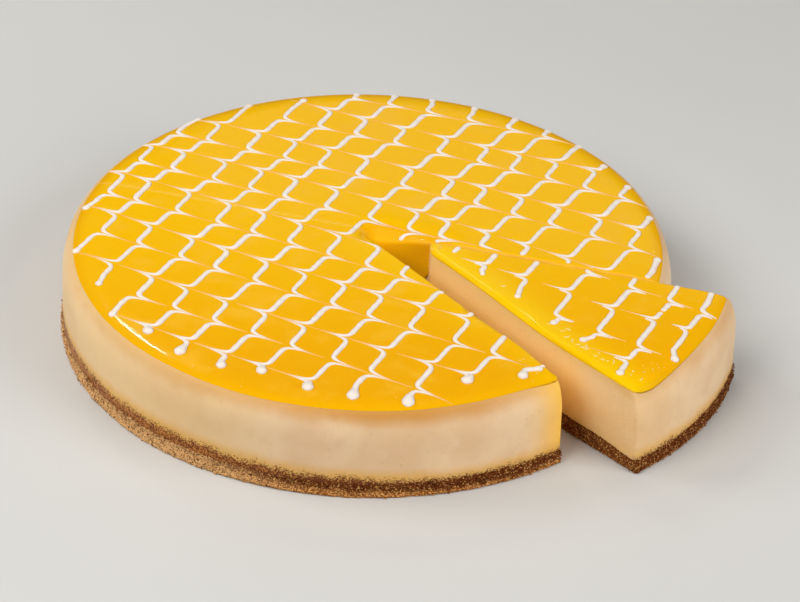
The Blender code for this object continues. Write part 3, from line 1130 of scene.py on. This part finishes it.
# Strokes on the wedge: the middle (u, v), then each end as (comb v, pull, tail) or as a plain end (u, v).
sliceStrokes = [
    ((33.4, 12.0), (33.6, 16.0), (33.0, 8.0)),
    ((48.0, 13.0), (48.0, 20.5), (6.2, -1, 11.0)),
    ((48.2, 2.0), (5.4, -1, 5.0), (50.0, -1.2)),
    ((64.6, 12.5), (21.2, 1, 9.0), (5.9, -1, 12.0)),
    ((66.4, -1.0), (5.2, -1, 6.0), (68.6, -9.0)),
    ((84.4, 23.0), (83.8, 25.5), (20.3, 1, 10.0)),
    ((84.5, 12.0), (19.7, 1, 7.0), (5.0, -1, 12.0)),
    ((85.7, -5.0), (4.3, -1, 6.0), (-13.3, 1, 9.0)),
    ((88.4, -16.5), (-13.9, 1, 6.0), (87.4, -19.3)),
    ((102.8, 23.0), (102.4, 27.5), (18.5, 1, 14.0)),
    ((104.0, 11.0), (17.7, 1, 7.0), (2.7, -1, 10.0)),
    ((105.0, -7.0), (2.0, -1, 6.0), (-16.0, 1, 13.0)),
    ((105.2, -19.5), (-16.5, 1, 7.0), (102.0, -24.3)),
    ((119.5, 24.5), (118.6, 31.0), (16.8, 1, 11.0)),
    ((121.3, 12.8), (16.2, 1, 6.0), (121.0, 9.6)),
    ((120.8, 7.0), (121.2, 8.8), (3.0, -1, 15.0)),
    ((121.7, -7.0), (2.0, -1, 5.0), (-17.5, 1, 11.0)),
    ((123.2, -22.5), (-18.2, 1, 6.0), (-26.8, -1, 18.0)),
    ((123.4, -33.0), (-27.6, -1, 6.0), (124.0, -38.0)),
    ((133.8, 23.5), (132.2, 32.0), (16.6, 1, 7.0)),
    ((134.6, 9.0), (15.3, 1, 5.0), (3.0, -1, 7.0)),
    ((135.0, -12.5), (2.3, -1, 4.0), (138.5, -18.5)),
]
sliceDrops = {4: 1.1, 8: 1.2, 12: 1.3, 18: 1.3, 21: 1.35}      # radius of the last drop, by stroke

icingShape = {
    "steps": 46,
    "sides": 8,
    "halfWidth": 1.16,           # millimetres, as the rest of the plan
    "tailWidth": 0.21,
    "thinning": 3.9,
    "veiling": 8.5,              # how far a stroke is drawn before it is a thin veil
    "tail": 18.0,
    "height": 0.55,              # share of the half width
    "lowest": 0.00013,
    "bedded": 0.35,              # share of the half width that a bead reaches down
    "lean": 0.25,
    "foot": 1.6,                 # half width where a line starts at the back rim
    "curve": (5.4, 4.5),         # powers of the pull, from above and from below
}


# Half a stroke, from its middle to its end. A comb stroke draws it out: with s from 0 to 1 the gap to the
# comb's line shrinks as (1 - s)^2 while the pull grows as s to a power, higher where the line comes from
# above. A plain end is reached in a straight line.
def halfStroke(middle, end, samples=40):
    s = np.linspace(0.0, 1.0, samples)
    if len(end) == 2:
        return blend(middle[0], end[0], s), blend(middle[1], end[1], s), 0.0 * s
    combV, pull, tail = end
    lineV = combV if callable(combV) else (lambda u: np.full_like(u, combV))
    start = float(lineV(np.array([middle[0]]))[0])
    above = 1.0 if middle[1] > start else -1.0
    shift = tail * s ** icingShape["curve"][0 if above > 0 else 1]
    u = middle[0] + pull * shift
    gap = abs(middle[1] - start) * (1.0 - s) ** 2
    return u, lineV(u) + above * (gap + 0.10), shift


# The cake's strokes: one for each lane of each piped line, between the comb strokes beside it, which are
# parabolas through their three places.
def cakeStrokes(random):
    fits = [(pull, np.polyfit(combSpots, heights, 2)) for pull, heights in cakeComb]

    def combEnd(row):
        pull, fit = fits[row]
        return (lambda at: np.polyval(fit, at)), pull, icingShape["tail"] * random.uniform(0.75, 1.2)

    strokes = []
    for firstLane, us, (backU, backV), front, drop in cakeLines:
        last = len(us) - 1
        for index, u in enumerate(us):
            lane = firstLane + index
            back = (backU, backV + backReach) if index == 0 else combEnd(lane)
            ends = (back, front if index == last else combEnd(lane + 1))
            levels = [end[1] if len(end) == 2 else float(end[0](u)) for end in ends]
            middle = (u, 0.5 * (levels[0] + levels[1]))
            strokes.append((middle, *ends, drop if index == last else 0.0))
    return strokes + [turnStroke]


def combToPlace(u, v):
    along = unitAt(combTurn)
    return (u[..., None] * along + v[..., None] * leftOf(along)) * mm


# Beads: each is a flattened round carried along its path, with half widths of its own, on the glaze.
def beadRings(paths, widths, plan):
    shape = icingShape
    tangent = np.gradient(paths, axis=1)
    tangent /= np.maximum(np.linalg.norm(tangent, axis=-1, keepdims=True), 1e-12)
    across = np.stack([-tangent[..., 1], tangent[..., 0]], -1)
    angle = 2 * math.pi * (np.arange(shape["sides"]) + 0.5) / shape["sides"]
    side, lift = np.cos(angle)[None, None, :], np.sin(angle)[None, None, :]
    height = np.maximum(widths * shape["height"], np.minimum(widths, shape["lowest"]))[:, :, None]
    flat = paths[:, :, None, :] + across[:, :, None, :] * (side * widths[:, :, None])[..., None]
    surface = 0.5 * (glazeHeight(plan, flat) + glazeHeight(plan, paths)[:, :, None])
    rise = np.where(lift > 0, lift * height, lift * shape["bedded"] * widths[:, :, None])
    return np.concatenate([flat, (surface + rise)[..., None]], -1)


# Joins many beads, all with the same numbers of steps and sides, into one mesh with closed ends.
def beadMesh(name, rings, attribute, values):
    strokes, steps, sides = rings.shape[:3]
    starts = (np.arange(strokes)[:, None] * steps + np.arange(steps)) * sides
    faces = [ringQuads(starts, sides)[:, ::-1]]
    for begin, order in ((starts[:, :1], 1), (starts[:, -1:], -1)):
        for k in range(sides // 2 - 1):
            cap = [begin + k, begin + k + 1, begin + sides - 2 - k, begin + sides - 1 - k]
            faces.append(np.concatenate(cap, 1)[:, ::order])
    mesh = fillMesh(name, rings.reshape(-1, 3), np.concatenate(faces), np.zeros((0, 3), int))
    paint(mesh, attribute, np.broadcast_to(values[:, :, None], rings.shape[:3]))
    return mesh


# How far inside the glaze a place lies, for icing: 0 near a cut's edge or where the glaze ends.
def icingRoom(plan, place):
    distance = edgeDistances(plan, place)
    margins = {"near": 0.0022 if plan["isWedge"] else 0.0006, "far": 0.0006, "end": 0.0006}
    sides = [distance[zone] - margin for zone, margin in margins.items()]
    cuts = np.minimum.reduce(sides) if plan["isWedge"] else np.maximum.reduce(sides)
    return np.minimum(cuts, distance["rim"] - layers["glazeInset"] + 0.0012)


# A stroke's path, half widths and veil: the longest stretch of it that lies on the glaze, with its steps
# closer at its start. The width falls off with the pull, swells at a drop and rounds off at both ends.
def shapeStroke(plan, stroke, random):
    shape = icingShape
    middle, back, front, drop = stroke
    halves = zip(halfStroke(middle, back), halfStroke(middle, front))
    u, v, shift = (np.concatenate([a[::-1], b[1:]]) for a, b in halves)
    place = combToPlace(u + shape["lean"], v)
    keep = icingRoom(plan, place) > 0
    if keep.sum() < 6:
        return None
    runs = np.flatnonzero(np.diff(np.concatenate([[0], keep.astype(int), [0]]))).reshape(-1, 2)
    begin, stop = runs[np.argmax(runs[:, 1] - runs[:, 0])]
    if stop - begin < 6:
        return None
    gaps = np.linalg.norm(np.diff(place[begin:stop], axis=0), axis=1)
    lengths = np.concatenate([[0.0], np.cumsum(gaps)]) / mm
    count = len(lengths)
    ruler = lengths / lengths[-1] + np.linspace(0.0, 0.8, count)
    index = begin + np.interp(np.linspace(0.0, ruler[-1], shape["steps"]), ruler, np.arange(count))
    x, y, pulled = (np.interp(index, np.arange(len(u)), run) for run in (*place.T, shift))
    along = np.interp(index - begin, np.arange(count), lengths)
    left = lengths[-1] - along
    thin = shape["tailWidth"]
    width = thin + (shape["halfWidth"] - thin) * np.exp(-pulled / shape["thinning"])
    width = width * random.uniform(0.88, 1.10)
    width = width * (1.0 + 0.07 * np.sin(along * random.uniform(0.8, 1.6) + random.uniform(0, 6)))
    if len(back) == 2 and not plan["isWedge"]:
        foot = shape["foot"]
        width = np.maximum(width, foot * np.exp(-((along - foot) / 3.0) ** 2))
    if drop:
        swollen = np.exp(-((np.abs(left - 1.1 * drop) / (2.7 * drop)) ** 1.6))
        width = np.maximum(width, 1.28 * drop * swollen * random.uniform(0.94, 1.06))
    ends = quarterRound(along, max(width[0], 0.3)) * quarterRound(left, max(width[-1], 1.2 * drop, 0.3))
    path = np.stack([x, y], 1) + 0.00012 * random.standard_normal(2)
    return path, np.maximum(width * ends, 0.02) * mm, 1.0 - np.exp(-((pulled / shape["veiling"]) ** 2))


def makeIcing(name, plan, strokes, material, seed):
    random = np.random.default_rng(seed)
    shaped = [shapeStroke(plan, stroke, random) for stroke in strokes]
    paths, widths, veils = (np.array(run) for run in zip(*(parts for parts in shaped if parts)))
    mesh = beadMesh(name, beadRings(paths, widths, plan), "veil", veils)
    print("icing strokes on", name, len(paths))
    return addPiece(mesh, material, "icing")


# A twenty-sided solid of radius 1: the corners of three golden rectangles, and the triples of neighbours.
def twentySided():
    golden = (1 + 5 ** 0.5) / 2
    corners = []
    for a in (-1, 1):
        for b in (-golden, golden):
            corners += [(a, b, 0), (0, a, b), (b, 0, a)]
    corners = np.array(corners, float)
    corners /= np.linalg.norm(corners, axis=1)[:, None]
    gaps = np.linalg.norm(corners[:, None] - corners[None], axis=-1)
    near = (gaps > 0) & (gaps < 1.1)
    faces = []
    for i, j, k in combinations(range(12), 3):
        if near[i, j] and near[j, k] and near[i, k]:
            normal = np.cross(corners[j] - corners[i], corners[k] - corners[i])
            outward = normal @ (corners[i] + corners[j] + corners[k]) > 0
            faces.append((i, j, k) if outward else (i, k, j))
    return corners, np.array(faces)


# Random sizes from a shape's smallest to its largest, most of them small.
def smallSizes(shape, random, count, power):
    return shape["smallest"] + (shape["largest"] - shape["smallest"]) * random.random(count) ** power


# Lopsided grains: a twenty-sided solid at each centre, its corners pushed in and out and its sides
# stretched, each by its own random factor, and nothing below the floor.
def grainMesh(name, centres, sizes, lumpy, stretched, random):
    count = len(centres)
    corners, faces = twentySided()
    lumps = 1.0 + lumpy * (random.random((count, 12, 1)) - 0.5)
    stretch = random.uniform(*stretched, (count, 1, 3))
    points = centres[:, None] + corners[None] * lumps * stretch * sizes[:, None, None]
    points[..., 2] = np.maximum(points[..., 2], 0.0)
    triangles = (faces[None] + 12 * np.arange(count)[:, None, None]).reshape(-1, 3)
    return fillMesh(name, points.reshape(-1, 3), np.zeros((0, 4), int), triangles), points


# Crumb grains, scattered over the crust's rim and cut faces.
grainShape = {
    "cakeCount": 3200,
    "sliceCount": 1100,
    "smallest": 0.00014,
    "largest": 0.00048,
    "lumpy": 0.35,
    "stretched": (0.65, 1.25),
}


def makeGrains(name, plan, count, material, seed):
    shape = grainShape
    random = np.random.default_rng(seed)
    loop = makeLoop(plan, 0.0006)
    spots = random.integers(0, len(loop["point"]), count)
    sizes = smallSizes(shape, random, count, 2.4)
    rim = loop["rim"][spots]
    reach = crustHeight(plan, loop["point"][spots]) + 0.0009 * rim - 0.0003
    height = np.maximum(random.random(count) ** 0.85 * reach, sizes * 0.9)
    settled = blend(0.0, -0.0005 * smoothStep((height - 0.005) / 0.003), rim)
    stand = settled + 0.00025 * (random.random(count) - 0.5)
    flat = loop["point"][spots] + loop["outward"][spots] * stand[:, None]
    centres = np.concatenate([flat, height[:, None]], 1)
    mesh, points = grainMesh(name, centres, sizes, shape["lumpy"], shape["stretched"], random)
    paint(mesh, "rim", np.repeat(rim, 12))
    paint(mesh, "baked", plan["crustBake"] * bakedShare(points[..., :2]).ravel())
    return addPiece(mesh, material, "biscuit")


# Crumbs of filling that cling to the wedge's tip: down its edge and, thicker, at the top of it.
tipShape = {
    "count": 90,
    "smallest": 0.00012,
    "largest": 0.00034,
    "spread": 0.0004,
    "lowest": 0.009,
    "atTop": 0.25,               # share of the crumbs that lie on the top beside the tip
    "topReach": 0.006,
    "lumpy": 0.5,
    "stretched": (0.6, 1.4),
}


def makeTipCrumbs(name, plan, material, seed):
    shape = tipShape
    random = np.random.default_rng(seed)
    count = shape["count"]
    sizes = smallSizes(shape, random, count, 2)
    tip = np.array(plan["nearEnd"])
    flat = tip + shape["spread"] * (random.random((count, 2)) - np.array([0.7, 0.5]))
    height = random.uniform(shape["lowest"], layers["fillingTop"], count)
    onTop = random.random(count) < shape["atTop"]
    strewn = np.stack([random.random(count) ** 2, 0.7 * random.random(count) - 0.1], 1)
    flat = np.where(onTop[:, None], tip + shape["topReach"] * strewn, flat)
    height = np.where(onTop, glazeHeight(plan, flat) + 0.5 * sizes, height)
    centres = np.concatenate([flat, height[:, None]], 1)
    mesh, points = grainMesh(name, centres, sizes, shape["lumpy"], shape["stretched"], random)
    # painted light: the crumbs take the near cut's lit colour
    paint(mesh, "near", np.ones(points.shape[:2]))
    return addPiece(mesh, material, "cheesecake")


# Tiny bubbles set in the glaze near its edges: low domes of the same gel, painted pale as a painted glint
# where they catch the light.
bubbleShape = {
    "cakeCount": 30,
    "sliceCount": 24,
    "smallest": 0.00012,
    "largest": 0.00046,
    "inset": (0.0012, 0.0075),
    "sides": 10,
    "rows": 5,
    "rise": (-0.35, 0.47),       # angles of the first and last row, in half turns
    "flat": 0.6,
    # the bubbles are painted pale: a painted glint
    "paints": {"edge": 0.6, "paintedGlint": 0.5},
}


def makeBubbles(name, plan, count, material, seed):
    shape = bubbleShape
    random = np.random.default_rng(seed)
    loop = makeLoop(plan, 0.0009)
    point, rim = loop["point"], loop["rim"]
    clustered = rollingNoise(loop["place"], 0.016, plan["seed"] + 50) > 0.05
    frontRim = (rim > 0.9) & (point[:, 1] < 0.0)
    wanted = np.flatnonzero(((loop["near"] > 0.9) | frontRim) & clustered)
    weight = 0.3 + 2.5 * nearCorner(plan, point[wanted])
    spots = random.choice(wanted, count, p=weight / weight.sum())
    inset = np.where(rim[spots] > 0.5, layers["glazeInset"], 0.0) + random.uniform(*shape["inset"], count)
    flat = point[spots] - loop["outward"][spots] * inset[:, None]
    sizes = smallSizes(shape, random, count, 2)
    sides, rows = shape["sides"], shape["rows"]
    turn = 2 * math.pi * np.arange(sides) / sides
    rise = (np.linspace(*shape["rise"], rows) * math.pi)[:, None]
    level = np.cos(rise)
    dome = (np.cos(turn) * level, np.sin(turn) * level, shape["flat"] * np.sin(rise) + 0.0 * turn)
    centres = np.concatenate([flat, glazeHeight(plan, flat)[:, None]], 1)
    rings = centres[:, None, None] + np.stack(dome, -1) * sizes[:, None, None, None]
    starts = (np.arange(count)[:, None] * rows + np.arange(rows)) * sides
    caps = []
    for start, order in ((starts[:, :1], -1), (starts[:, -1:], 1)):
        for k in range(1, sides - 1):
            caps.append(np.concatenate([start, start + k, start + k + 1], 1)[:, ::order])
    mesh = fillMesh(name, rings.reshape(-1, 3), ringQuads(starts, sides), np.concatenate(caps))
    for attribute, value in shape["paints"].items():
        paint(mesh, attribute, np.full(count * rows * sides, value))
    return addPiece(mesh, material, "lemon_glaze")


# Wrinkles of the gel beside the rims and the wedge's near cut: short curved ridges painted pale, a painted
# glint where they catch the light, most of them beside that cut. Those that would hang over the glaze's
# edge are left out.
wrinkleShape = {
    "cakeCount": 24,
    "sliceCount": 28,
    "steps": 12,
    "halfWidth": 0.00032,
    "bend": 0.0015,              # radius of a ridge's curve
    "rimInset": (0.0006, 0.0030),
    "cutInset": (0.0050, 0.0080),
    "thick": (0.090, 0.016),     # how far from the tip most lie, and how broadly
    # how strongly they are painted with the pale painted glint
    "pale": 0.95,
}


def makeWrinkles(name, plan, count, material, seed):
    shape = wrinkleShape
    random = np.random.default_rng(seed)
    loop = makeLoop(plan, 0.0009)
    point, rim, near = loop["point"], loop["rim"], loop["near"]
    frontRim = (rim > 0.9) & (point[:, 1] < 0.01) & (point[:, 0] < plan["centre"][0] + 0.07)
    wanted = np.flatnonzero(frontRim | ((near > 0.9) & plan["isWedge"]))
    fromTip = np.linalg.norm(point - np.array(plan["nearEnd"]), axis=1)
    middle, breadth = shape["thick"]
    weight = 0.1 + 2.0 * near * np.exp(-(((fromTip - middle) / breadth) ** 2))
    weight += nearCorner(plan, point) ** 3 + 0.6 * smoothStep(-8.0 * point[:, 0])
    spots = random.choice(wanted, count, p=weight[wanted] / weight[wanted].sum())
    rimInset = layers["glazeInset"] + random.uniform(*shape["rimInset"], count)
    cutInset = random.uniform(*shape["cutInset"], count)
    inset = np.where(rim[spots] > 0.5, rimInset, cutInset)
    centres = point[spots] - loop["outward"][spots] * inset[:, None]
    start = random.uniform(0.0, 2 * math.pi, count)[:, None]
    turn = start + random.uniform(0.6, 2.4, count)[:, None] * np.linspace(0.0, 1.0, shape["steps"])
    radius = shape["bend"] * random.uniform(0.5, 1.3, count)
    paths = centres[:, None] + radius[:, None, None] * np.stack([np.cos(turn), np.sin(turn)], -1)
    swell = 0.08 + 0.92 * np.sin(np.linspace(0.0, math.pi, shape["steps"]))
    widths = shape["halfWidth"] * random.uniform(0.6, 1.2, (count, 1)) * swell
    inside = roundShare(plan, paths).min(axis=1) > 0.7
    paths, widths = paths[inside], widths[inside]
    # painted glint: the ridges are painted pale
    mesh = beadMesh(name, beadRings(paths, widths, plan), "paintedGlint", np.full(widths.shape, shape["pale"]))
    return addPiece(mesh, material, "lemon_glaze")


# Floor, light and camera
studio = {
    "floor": seen(205, 205, 202),
    "mottled": seen(211, 210, 207),
    "roughness": 0.6,
    "specular": 0.2,
    "world": seen(236, 238, 242),
    "worldStrength": 0.05,
    "focal": 187.81,             # millimetres, on a sensor 36 mm wide
    "elevation": math.radians(33.161),
    "roll": math.radians(1.812),
    "distance": 1.6621,
    "aim": (0.01323, 0.01499, 0.0),
}

# Each light: its place, what it faces, its width, its power and its colour. The last two have a height too,
# and only they show in the glaze: a small bright one as a thin line along the front-left rim, and a dim one
# behind that pales the far half of the top.
lights = {
    "key": ((-0.95, 0.18, 0.88), (0.0, 0.0, 0.02), 0.6, 5.8, (1.0, 0.99, 0.97)),
    "overhead": ((0.1, -0.35, 1.45), (0.02, -0.02, 0.02), 1.1, 1.7, (1.0, 0.99, 0.97)),
    "frontLeft": ((-0.72, -0.72, 1.20), (0.0, 0.0, 0.02), 1.0, 14.7, (1.0, 0.985, 0.96)),
    "right": ((1.20, -0.67, 0.80), (0.0, 0.0, 0.02), 1.0, 15.4, (1.0, 0.985, 0.97)),
    "back": ((-0.30, 1.20, 0.95), (0.0, 0.0, 0.03), 0.8, 2.3, (1.0, 0.99, 0.97)),
    "glint": ((-0.382, 0.906, 0.992), (-0.083, -0.072, 0.036), 0.045, 0.6, (1.0, 1.0, 1.0), 0.165),
    "behind": ((0.25, 1.25, 0.72), (0.02, 0.05, 0.036), 0.8, 0.10, (0.97, 0.98, 1.0), 0.22),
}


def areaLight(name, place, aim, width, power, colour, height=None):
    light = bpy.data.lights.new(name, "AREA")
    light.energy = power
    light.color = colour
    light.size = width
    lamp = bpy.data.objects.new(name, light)
    scene.collection.objects.link(lamp)
    lamp.visible_glossy = height is not None
    if height is not None:
        light.shape = "RECTANGLE"
        light.size_y = height
    lamp.location = place
    back = np.array(place, float) - np.array(aim, float)
    back /= np.linalg.norm(back)
    side = np.cross((0.0, 0.0, 1.0), back)
    side /= np.linalg.norm(side)
    turn = np.stack([side, np.cross(back, side), back], 1)
    lamp.rotation_euler = Matrix([list(row) for row in turn]).to_euler()


def makeFloor():
    bpy.ops.mesh.primitive_plane_add(size=6.0, location=(0.0, 0.0, 0.0))
    floor = bpy.context.object
    floor.name = "floor"
    material, _, place = newMaterial("paleFloor")
    shade = layColours(studio["floor"], (noiseField(place, 0.12, 2.0), studio["mottled"]))
    floor.data.materials.append(finishMaterial(material, shade, studio["roughness"], studio["specular"]))


# The camera looks along the elevation at its aim, rolled by a turn about its own axis.
def makeCamera():
    camera = bpy.data.objects.new("camera", bpy.data.cameras.new("camera"))
    scene.collection.objects.link(camera)
    elevation, roll = studio["elevation"], studio["roll"]
    back = np.array([0.0, -math.cos(elevation), math.sin(elevation)])
    level = np.array([1.0, 0.0, 0.0])
    upright = np.array([0.0, math.sin(elevation), math.cos(elevation)])
    right = math.cos(roll) * level + math.sin(roll) * upright
    up = -math.sin(roll) * level + math.cos(roll) * upright
    place = np.array(studio["aim"]) + studio["distance"] * back
    rows = np.stack([right, up, back, place], 1).tolist()
    camera.matrix_world = Matrix(rows + [[0.0, 0.0, 0.0, 1.0]])
    camera.data.sensor_width = 36.0
    camera.data.sensor_fit = "HORIZONTAL"
    camera.data.lens = studio["focal"]
    camera.data.clip_end = 20.0
    scene.camera = camera


def makeStudio():
    world = bpy.data.worlds.new("studio")
    scene.world = world
    world.use_nodes = True
    background = world.node_tree.nodes["Background"]
    setSockets(background, {"Color": studio["world"], "Strength": studio["worldStrength"]})
    makeFloor()
    for name, settings in lights.items():
        areaLight(name, *settings)
    makeCamera()
    scene.view_settings.view_transform = "Standard"
    scene.view_settings.look = "None"


filling = fillingMaterial()
crust = crustMaterial()
glaze = glazeMaterial()
icing = icingMaterial()
print("materials made")

makeFilling("cakeFilling", cakePlan, filling, "filling")
makeFilling("sliceFilling", slicePlan, filling, "slice_filling")
makeTipCrumbs("sliceTipCrumbs", slicePlan, filling, 9)
print("filling made")
makeCrust("cakeCrust", cakePlan, crust, "crust")
makeCrust("sliceCrust", slicePlan, crust, "slice_crust")
makeGrains("cakeGrains", cakePlan, grainShape["cakeCount"], crust, 5)
makeGrains("sliceGrains", slicePlan, grainShape["sliceCount"], crust, 6)
print("crust and grains made")
makeGlaze("cakeGlaze", cakePlan, glaze, "glaze")
makeGlaze("sliceGlaze", slicePlan, glaze, "slice_glaze")
makeBubbles("cakeBubbles", cakePlan, bubbleShape["cakeCount"], glaze, 7)
makeBubbles("sliceBubbles", slicePlan, bubbleShape["sliceCount"], glaze, 8)
makeWrinkles("cakeWrinkles", cakePlan, wrinkleShape["cakeCount"], glaze, 15)
makeWrinkles("sliceWrinkles", slicePlan, wrinkleShape["sliceCount"], glaze, 16)
print("glaze made")
makeIcing("cakeIcing", cakePlan, cakeStrokes(np.random.default_rng(20)), icing, 21)
onSlice = [(*stroke, sliceDrops.get(index, 0.0)) for index, stroke in enumerate(sliceStrokes)]
makeIcing("sliceIcing", slicePlan, onSlice, icing, 22)
makeStudio()
print("studio made")
